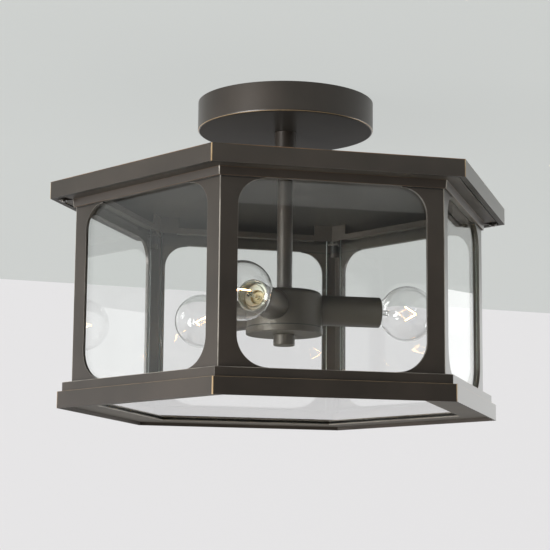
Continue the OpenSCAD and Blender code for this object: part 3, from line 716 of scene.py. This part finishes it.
def arm_matrix(number, twist=0.0):
    row = joint_rows[f"lamp_{number}_turn"]
    along = Vector(row["axis"]).normalized()
    down = Vector((0, 0, -1))
    across = along.cross(down)
    turn = Matrix((
        (down.x, across.x, along.x, 0),
        (down.y, across.y, along.y, 0),
        (down.z, across.z, along.z, row["pos_m"][2]),
        (0, 0, 0, 1),
    ))
    return turn @ Matrix.Rotation(math.radians(twist), 4, "Z")


def along_arm(node, number):
    """Where a node starts and ends along its arm, and its largest radius, in mm."""
    back = arm_matrix(number).inverted()
    points = [back @ point.co / MM for point in nodes[node].data.vertices]
    reach = [p.z for p in points]
    radius = max(math.hypot(p.x, p.y) for p in points)
    return round(min(reach), 2), round(max(reach), 2), round(radius, 2)


print("arm 1 points along", [round(v, 3) for v in joint_rows["lamp_1_turn"]["axis"]])

# %% Socket cups
BARE = UNDER
cup_coat = satin_coat[:UNDER] + [tinned]

for number in LAMPS:
    cup = eased(f"socket_cup_{number}", cup_coat, [(None, 0.3, HIGHLIGHT_EDGE)])
    away = arm_matrix(number)
    along, start = away.col[2].to_3d(), away.translation
    for face in cup.data.polygons:
        out_from_axis = face.center - start
        out_from_axis -= along * out_from_axis.dot(along)
        if face.normal.dot(out_from_axis) < 0 and abs(face.normal.dot(along)) < 0.5:
            face.material_index = BARE
print("3 socket cups, bare inside")

# %% [markdown]
# ## Glass panes
# A pane keeps its flat faces and gets a narrow arris. Every face that isn't one of the two big
# polished ones takes the ground finish.

# %% Glass panes
ARRIS = 0.35


def pane(node, facing):
    bm = merged_mesh(node)
    bmesh.ops.bevel(
        bm, geom=sharp_edges(bm, None, FOLDED), offset=ARRIS * MM, offset_type="OFFSET",
        segments=1, affect="EDGES", clamp_overlap=True,
    )
    for face in bm.faces:
        face.material_index = 0 if abs(face.normal.dot(facing)) > 0.99 else 1
    mesh = mesh_from(bm, node + "_skin")
    stand_for(node, mesh, [pane_glass, ground_glass], 20)


for number in range(1, 7):
    turn = math.radians(30 + 60 * (number - 1))
    pane(f"glass_pane_{number}", Vector((math.cos(turn), math.sin(turn), 0)))
pane("bottom_glass", Vector((0, 0, 1)))
print("7 panes with ground edges")

# %% [markdown]
# ## Fasteners
# Small hardware keeps its solids, gets its edges broken and takes its own finish.

for node in ("crossbar", "threaded_rod", "lock_nuts", "arm_nipples", "nipple_nuts"):
    eased(node, [zinc], [(None, 0.2, 0)])
for node in ("roof_studs", "stud_nuts", "upper_post_screws", "lower_post_screws"):
    eased(node, [blackened], [(None, 0.2, 0)])
eased("ground_screw", [green_screw], [(None, 0.2, 0)])
eased("holder_contacts", [brass], [(None, 0.1, 0)])

# %% [markdown]
# ## Lampholders
# A porcelain holder has a softly rounded mouth, and a brass shell with a rolled thread lines it.
# A thread is a wave that climbs as it turns, so its radius depends on height and angle together.
# The wave fades out over the first and last turn, as a rolled thread does.

# %% Rolled threads
THREAD_PITCH, THREAD_DEPTH, THREAD_SIDES, ROWS_PER_TURN = 2.54, 0.45, 48, 10


def skinned(bm, rings):
    """Faces between closed rings of the same number of points."""
    for lower, upper in zip(rings, rings[1:]):
        for here in range(len(lower)):
            after = (here + 1) % len(lower)
            bm.faces.new((lower[here], lower[after], upper[after], upper[here]))


def threaded_mesh(name, crest, start, end, place, depth):
    bm = bmesh.new()
    rows = int((end - start) / THREAD_PITCH * ROWS_PER_TURN)
    rings = []
    for row in range(rows + 1):
        height = start + (end - start) * row / rows
        fade = min(1.0, (height - start) / THREAD_PITCH, (end - height) / THREAD_PITCH)
        ring = []
        for side in range(THREAD_SIDES):
            angle = 2 * math.pi * side / THREAD_SIDES
            wave = 0.5 - 0.5 * math.cos(2 * math.pi * height / THREAD_PITCH - angle)
            r = crest + depth * wave * fade
            point = Vector((r * math.cos(angle), r * math.sin(angle), height))
            ring.append(bm.verts.new(point * MM))
        rings.append(ring)
    skinned(bm, rings)
    bm.transform(place)
    bmesh.ops.recalc_face_normals(bm, faces=bm.faces)
    return mesh_from(bm, name)


print(f"thread pitch {THREAD_PITCH} mm, depth {THREAD_DEPTH} mm")

# %% Lampholders
SHELL_WALL = 0.3

for number in LAMPS:
    eased(f"lampholder_{number}", [porcelain], [(None, 0.6, 0)])
    start, end, outside = along_arm(f"screw_shell_{number}", number)
    shell = threaded_mesh(
        f"screw_shell_{number}_skin", outside - SHELL_WALL, start, end, arm_matrix(number),
        THREAD_DEPTH,
    )
    shell = stand_for(f"screw_shell_{number}", shell, [brass], 60, weighted=False)
    wall = shell.modifiers.new("Wall", "SOLIDIFY")
    wall.thickness, wall.offset = SHELL_WALL * MM, 1
print(f"3 lampholders with shells {end - start:.1f} mm long")

# %% [markdown]
# ## Lamps: caps
# The cap is thin brass with a rolled thread. Its tip is a cone of black glass with a bead of
# solder in the middle. A collar of cement fills the cap where the globe's neck is set into it,
# and gives the pale ring behind the glass.

# %% Lamps: caps
CONE_START, CAP_END, CAP_R = along_arm("bulb_cap_1", 1)
CONE_LENGTH, CONE_TIP_R, ROLLED_END = 2.6, 2.6, 0.6
CAP_START = CONE_START + CONE_LENGTH
CEMENT_TOP, CEMENT_FOOT, CEMENT_HOLE = 66.0, 63.0, 1.2


def lamp_piece(name, number, profile, finish, smooth_angle, closed=True):
    mesh = turned_mesh(name, profile, arm_matrix(number), 48, closed)
    add_piece(name, mesh, f"lamp_{number}", [finish], smooth_angle)


def lamp_cap(number):
    thread = threaded_mesh(
        f"bulb_cap_{number}_skin", CAP_R, CAP_START + ROLLED_END, CAP_END - 0.4,
        arm_matrix(number), -THREAD_DEPTH,
    )
    stand_for(f"bulb_cap_{number}", thread, [brass], 60, weighted=False)
    cone = [
        (0, CONE_START), (CONE_TIP_R, CONE_START), (CAP_R - 0.8, CAP_START),
        (CAP_R - 0.2, CAP_START + ROLLED_END), (0, CAP_START + ROLLED_END),
    ]
    lamp_piece(f"cap_cone_{number}", number, cone, cap_glass, 20, closed=False)
    ring = rounded((CEMENT_HOLE, CEMENT_TOP), UP, RIGHT, 0.4)
    ring += rounded((CAP_R - 0.75, CEMENT_TOP + 2), (0.9, 0.4), UP, 0.8)
    ring += [(CAP_R - 0.7, CEMENT_FOOT), (CEMENT_HOLE, CEMENT_FOOT)]
    lamp_piece(f"cap_cement_{number}", number, ring, cement, 40)
    eased(f"bulb_contact_{number}", [solder], [(None, 0.3, 0)])


for number in LAMPS:
    lamp_cap(number)
print(f"caps {2 * CAP_R:.1f} mm across, {CAP_END - CONE_START:.1f} mm long")

# %% [markdown]
# ## Lamps: globes
# A globe is blown in one piece with its neck: a sphere, a hollow curve and a short taper into the
# cap. The inner wall is the same outline moved in by the thickness of the glass.

# %% Lamps: globes
globe_start, globe_end, GLOBE_R = along_arm("bulb_glass_1", 1)
GLOBE_AT = globe_end - GLOBE_R
NECK_R, NECK_CURVE, GLOBE_WALL, NECK_IN_CAP = 9.5, 14.0, 0.35, 0.4
NECK_STEPS, GLOBE_STEPS = 14, 56


def globe_outline(inset):
    across = NECK_R + NECK_CURVE
    curve_at = GLOBE_AT - math.sqrt((GLOBE_R + NECK_CURVE) ** 2 - across**2)
    tangent = math.atan2(GLOBE_AT - curve_at, across)
    rows = [(CAP_R - inset, CAP_END - NECK_IN_CAP)]
    for step in range(NECK_STEPS + 1):
        angle = tangent * step / NECK_STEPS
        radius = NECK_CURVE + inset
        rows.append((across - radius * math.cos(angle), curve_at + radius * math.sin(angle)))
    for step in range(1, GLOBE_STEPS + 1):
        angle = (math.pi / 2 + tangent) * (1 - step / GLOBE_STEPS)
        radius = GLOBE_R - inset
        rows.append((radius * math.sin(angle), GLOBE_AT + radius * math.cos(angle)))
    rows[-1] = (0.0, GLOBE_AT + GLOBE_R - inset)
    return rows


outline = globe_outline(0) + globe_outline(GLOBE_WALL)[::-1]
for number in LAMPS:
    node = f"bulb_glass_{number}"
    mesh = turned_mesh(node + "_skin", outline, arm_matrix(number), 96)
    stand_for(node, mesh, [globe_glass], 60, weighted=False)
print("globe diameter", 2 * GLOBE_R, "mm")

# %% [markdown]
# ## Lamps: filament mounts
# A pressed glass stem rises from the cap and holds two nickel leads. They spread to the bends of
# the filament, which comes to a point in front of them, so the hot coil draws a diamond with the
# leads. The coil is a true helix, wound along each straight run.

# %% Wires and coils
COIL_R, COIL_PITCH, POINTS_PER_TURN = 0.42, 0.62, 10


def wire_mesh(name, paths, radius, place, sides=8):
    """Tubes of one radius that follow lists of points, all in mm."""
    bm = bmesh.new()
    for path in paths:
        points = [Vector(p) for p in path]
        side = Vector((0.31, 0.95, 0.04))
        rings = []
        for i, point in enumerate(points):
            before, after = points[max(i - 1, 0)], points[min(i + 1, len(points) - 1)]
            ahead = (after - before).normalized()
            side = (side - ahead * side.dot(ahead)).normalized()
            other = ahead.cross(side)
            ring = []
            for j in range(sides):
                angle = 2 * math.pi * j / sides
                out = (side * math.cos(angle) + other * math.sin(angle)) * radius
                ring.append(bm.verts.new((point + out) * MM))
            rings.append(ring)
        skinned(bm, rings)
        bm.faces.new(rings[0][::-1])
        bm.faces.new(rings[-1])
    bm.transform(place)
    bmesh.ops.recalc_face_normals(bm, faces=bm.faces)
    return mesh_from(bm, name)


def coil_path(start, end):
    start, end = Vector(start), Vector(end)
    run = end - start
    ahead = run.normalized()
    side = ahead.cross(Vector((0, 1, 0))).normalized()
    other = ahead.cross(side)
    count = int(run.length / COIL_PITCH * POINTS_PER_TURN)
    path = []
    for i in range(count + 1):
        angle = 2 * math.pi * i / POINTS_PER_TURN
        out = (side * math.cos(angle) + other * math.sin(angle)) * COIL_R
        path.append(start + run * (i / count) + out)
    return path


print("filament coil pitch", COIL_PITCH, "mm")

# %% Lamps: filament mounts
MOUNT_FOOT, MOUNT_TIP, KNEE, NOSE, SPREAD = CAP_START + 3, 92.5, 108.6, 118.5, 6.2
LEAD_R, COIL_WIRE = 0.16, 0.13
twists = {1: 0, 2: 45, 3: 90}
stem = [
    (0, MOUNT_FOOT), (CAP_R - 1.3, MOUNT_FOOT), (CAP_R - 1.3, MOUNT_FOOT + 1.5),
    (3.2, MOUNT_FOOT + 4), (2.2, MOUNT_FOOT + 8), (2.0, MOUNT_FOOT + 12),
    (2.0, MOUNT_TIP - 3.5), (2.3, MOUNT_TIP - 2.4), (2.7, MOUNT_TIP - 1),
    (2.5, MOUNT_TIP + 0.4), (1.6, MOUNT_TIP + 1.2), (0, MOUNT_TIP + 1.5),
]
hook = [
    (0, 0, MOUNT_TIP), (0, 0, NOSE - 1.2), (0, 0.5, NOSE + 0.2), (0, -0.5, NOSE + 0.2),
    (0, 0, NOSE - 1.0),
]


def lead_path(s):
    """One lead, from the stem's foot to the bend of the filament on side s (-1 or 1)."""
    return [
        (s * 1.0, 0, MOUNT_FOOT + 2), (s * 0.9, 0, MOUNT_TIP + 0.6), (s * 1.6, 0, MOUNT_TIP + 3),
        (s * SPREAD, 0, KNEE),
    ]


for number in LAMPS:
    place = arm_matrix(number, twists[number])
    body, node = f"lamp_{number}", f"filament_mount_{number}"
    glass = turned_mesh(node + "_skin", stem, place, 40, closed=False)
    stand_for(node, glass, [stem_glass], 60, weighted=False)
    leads = [lead_path(-1), lead_path(1), hook]
    coils = [coil_path((s * SPREAD, 0, KNEE), (s * 0.2, 0, NOSE)) for s in (-1, 1)]
    wires = wire_mesh(f"lead_wires_{number}", leads, LEAD_R, place)
    add_piece(wires.name, wires, body, [lead_wire], 60, weighted=False)
    coiled = wire_mesh(f"filament_{number}", coils, COIL_WIRE, place, 6)
    add_piece(coiled.name, coiled, body, [hot_wire], 60, weighted=False)
print("3 filament mounts, turned by", list(twists.values()), "degrees")

# %% [markdown]
# ## Camera
# The photograph was taken from below and a little to the left, with a long lens. The place,
# angles and focal length come from fitting the six-sided outline to it. A focal length in pixels
# becomes one in millimetres through the width of the picture and of the sensor.

# %% Camera
FOCAL_PIXELS, PICTURE_PIXELS, SENSOR = 1700.14, 550, 36
eye = Vector((-0.35560, -1.41551, -0.39050))
yaw, pitch, roll = -0.24061, 0.16139, 0.00874
ahead = Vector((-math.sin(yaw), math.cos(yaw), 0))
aside = Vector((math.cos(yaw), math.sin(yaw), 0))
up = Vector((0, 0, 1))
look = ahead * math.cos(pitch) + up * math.sin(pitch)
over = up * math.cos(pitch) - ahead * math.sin(pitch)
right = aside * math.cos(roll) + over * math.sin(roll)
over = over * math.cos(roll) - aside * math.sin(roll)

camera_data = bpy.data.cameras.new("Camera")
camera_data.sensor_width = SENSOR
camera_data.lens = FOCAL_PIXELS / PICTURE_PIXELS * SENSOR
camera_data.clip_start, camera_data.clip_end = 0.01, 50
camera = bpy.data.objects.new("Camera", camera_data)
bpy.context.scene.collection.objects.link(camera)
camera.matrix_world = Matrix((
    (right.x, over.x, -look.x, eye.x),
    (right.y, over.y, -look.y, eye.y),
    (right.z, over.z, -look.z, eye.z),
    (0, 0, 0, 1),
))
bpy.context.scene.camera = camera
print(f"lens {camera_data.lens:.2f} mm")

# %% [markdown]
# ## Ceiling, wall and floor
# A plain pale ceiling, wall and floor stand in for the porch. The ceiling and wall are seen from
# their room side only, so that the lantern can also be looked at from above and behind. Rays from
# the camera, and those that a metal or glass surface sends on, see most of the surface's own
# colour, so the background stays pale without more light on the lantern. The steel mirrors the
# ceiling at a low angle, and there the ceiling is brighter towards the two open sides of the
# porch and darker towards its front.

# %% Room surfaces
CEILING_GAINS = (("X", -0.6, -1.2, 0.35), ("X", 0.2, 0.55, 0.35), ("Y", -0.3, -0.6, -0.15))


def shares_along(tree, where, level, gains):
    """A share that starts from a level and changes along an axis. A gain is (axis, start, end,
    change), with start and end in metres."""
    total = add(tree, "ShaderNodeValue")
    total.outputs[0].default_value = level
    place = add(tree, "ShaderNodeSeparateXYZ", {0: where}).outputs
    for axis, start, end, change in gains:
        limits = {"From Min": start, "From Max": end, "To Min": 0.0, "To Max": change}
        part = add(tree, "ShaderNodeMapRange", {"Value": place[axis]}, limits)
        total = add(tree, "ShaderNodeMath", {0: total, 1: part}, operation="ADD")
    return total


def room_surface(name, hex_code, seen, mirrored, lit_hex=None, gains=()):
    """seen and mirrored: how much of its plain colour the camera and a glossy surface get."""
    plain = {"Base Color": linear(lit_hex or hex_code), "Roughness": 0.9}
    material, tree, shader, where = new_material(name, plain)
    ray = add(tree, "ShaderNodeLightPath").outputs
    direct = add(
        tree, "ShaderNodeMath", {0: ray["Is Camera Ray"], 1: ray["Is Transmission Ray"]},
        operation="MAXIMUM",
    )
    direct = add(tree, "ShaderNodeMath", {0: direct}, {1: seen}, operation="MULTIPLY")
    glossy = add(
        tree, "ShaderNodeMath", {0: ray["Is Glossy Ray"]}, {1: mirrored}, operation="MULTIPLY"
    )
    if gains:
        total = shares_along(tree, where, mirrored, gains)
        tree.links.new(total.outputs[0], glossy.inputs[1])
    share = add(tree, "ShaderNodeMath", {0: direct, 1: glossy}, operation="MAXIMUM")
    own = add(tree, "ShaderNodeEmission", values={"Color": linear(hex_code), "Strength": 1.0})
    front = add(tree, "ShaderNodeMixShader", {0: share, 1: shader, 2: own})
    back = add(tree, "ShaderNodeBsdfTransparent")
    behind = add(tree, "ShaderNodeNewGeometry").outputs["Backfacing"]
    output = tree.nodes["Material Output"]
    add(
        tree, "ShaderNodeMixShader", {0: behind, 1: front, 2: back}, to=output.inputs["Surface"]
    )
    return material


painted_ceiling = room_surface("Painted_ceiling", "#d3d6d4", 0.85, 0.4, gains=CEILING_GAINS)
painted_wall = room_surface("Painted_wall", "#e8e7e8", 0.92, 0.88)
pale_floor = room_surface("Pale_floor", "#d9d4cb", 0.6, 0.0, "#857f76")
print("room:", painted_ceiling.name, painted_wall.name, pale_floor.name)

# %% Ceiling, wall and floor
WALL_Y, WALL_SLOPE, WALL_END, SIDE = 1.084, 0.1086, 0.86, 3.0
CEILING_FRONT, FLOOR_FRONT, FLOOR_BACK, FLOOR_Z, LIFT = -0.74, -3, 2, -2.4, 0.3 * MM
wall_left, wall_right = WALL_Y - WALL_SLOPE * SIDE, WALL_Y + WALL_SLOPE * WALL_END


def room_plane(name, corners, material):
    mesh = bpy.data.meshes.new(name)
    mesh.from_pydata(corners, [], [(0, 1, 2, 3)])
    mesh.materials.append(material)
    plane = bpy.data.objects.new(name, mesh)
    bpy.context.scene.collection.objects.link(plane)


room_plane("Ceiling", [
    (-SIDE, CEILING_FRONT, LIFT), (-SIDE, wall_left, LIFT),
    (WALL_END, wall_right, LIFT), (WALL_END, CEILING_FRONT, LIFT),
], painted_ceiling)
room_plane("Wall", [
    (-SIDE, wall_left, FLOOR_Z), (WALL_END, wall_right, FLOOR_Z),
    (WALL_END, wall_right, LIFT), (-SIDE, wall_left, LIFT),
], painted_wall)
room_plane("Floor", [
    (-SIDE, FLOOR_FRONT, FLOOR_Z), (SIDE, FLOOR_FRONT, FLOOR_Z),
    (SIDE, FLOOR_BACK, FLOOR_Z), (-SIDE, FLOOR_BACK, FLOOR_Z),
], pale_floor)
print(f"floor {-FLOOR_Z} m below the ceiling")

# %% [markdown]
# ## Light
# Soft daylight comes in from the left, the right and behind. The front of the porch is darker,
# and so is what comes back up from the ground, which is a little warm. The sky is one plain level
# with three soft patches on it. The camera sees it as plain white.

# %% Daylight
PLAIN_SKY, GROUND_SHARE = 0.5, 0.2
SKY_PATCHES = ((170, 2, 15, 60, 0.75), (40, 0, 10, 55, 0.9), (278, 8, 8, 45, -0.35))

world = bpy.data.worlds.new("Daylight")
bpy.context.scene.world = world
world.use_nodes = True
tree = world.node_tree
toward = add(tree, "ShaderNodeTexCoord").outputs["Generated"]
level = add(tree, "ShaderNodeValue")
level.outputs[0].default_value = PLAIN_SKY

for azimuth, elevation, inner, outer, gain in SKY_PATCHES:
    # Each patch is full inside its inner angle and gone past its outer one, in degrees.
    a, e = math.radians(azimuth), math.radians(elevation)
    axis = (math.cos(e) * math.cos(a), math.cos(e) * math.sin(a), math.sin(e))
    near = add(tree, "ShaderNodeVectorMath", {0: toward}, {1: axis}, operation="DOT_PRODUCT")
    limits = {
        "From Min": math.cos(math.radians(outer)), "From Max": math.cos(math.radians(inner)),
        "To Max": gain,
    }
    patch = add(
        tree, "ShaderNodeMapRange", {"Value": near.outputs["Value"]}, limits,
        interpolation_type="SMOOTHSTEP",
    )
    level = add(tree, "ShaderNodeMath", {0: level, 1: patch}, operation="ADD")

height = add(tree, "ShaderNodeSeparateXYZ", {0: toward}).outputs["Z"]
horizon = {"From Min": -0.6, "From Max": -0.05, "To Min": GROUND_SHARE, "To Max": 1.0}
ground = add(
    tree, "ShaderNodeMapRange", {"Value": height}, horizon, interpolation_type="SMOOTHSTEP"
)
level = add(tree, "ShaderNodeMath", {0: level, 1: ground}, operation="MULTIPLY")
camera_ray = add(tree, "ShaderNodeLightPath").outputs["Is Camera Ray"]
background = tree.nodes["Background"]
add(
    tree, "ShaderNodeMix", {"Factor": camera_ray, "A": level}, {"B": 1.0},
    to=background.inputs["Strength"],
)
add(
    tree, "ShaderNodeValToRGB", {"Fac": ground},
    stops=[(GROUND_SHARE, "#e3d6c4"), (1.0, "#f2f3f2")], to=background.inputs["Color"],
)
print(len(SKY_PATCHES), "patches on a plain sky of", PLAIN_SKY)

# %% [markdown]
# ## Windows
# Two large soft lamps give the daylight a direction: a broad one on the left, and a weak one on
# the right that keeps the far posts from closing up.

# %% Windows
LANTERN_MIDDLE = (0, 0, -0.15)


def soft_lamp(name, place_at, size, watts):
    data = bpy.data.lights.new(name, "AREA")
    data.shape, data.size, data.energy = "DISK", size, watts
    lamp = bpy.data.objects.new(name, data)
    bpy.context.scene.collection.objects.link(lamp)
    lamp.location = place_at
    aim = Vector(LANTERN_MIDDLE) - Vector(place_at)
    lamp.rotation_euler = aim.to_track_quat("-Z", "Y").to_euler()


soft_lamp("Left_window", (-2.2, -1.2, -0.7), 1.4, 60)
soft_lamp("Right_window", (2.4, 0.2, -0.9), 1.2, 16)
print("two soft lamps")

# %% [markdown]
# ## Output settings
# The Standard view shows each colour about as it was written.

# %% Output settings
bpy.context.scene.view_settings.view_transform = "Standard"
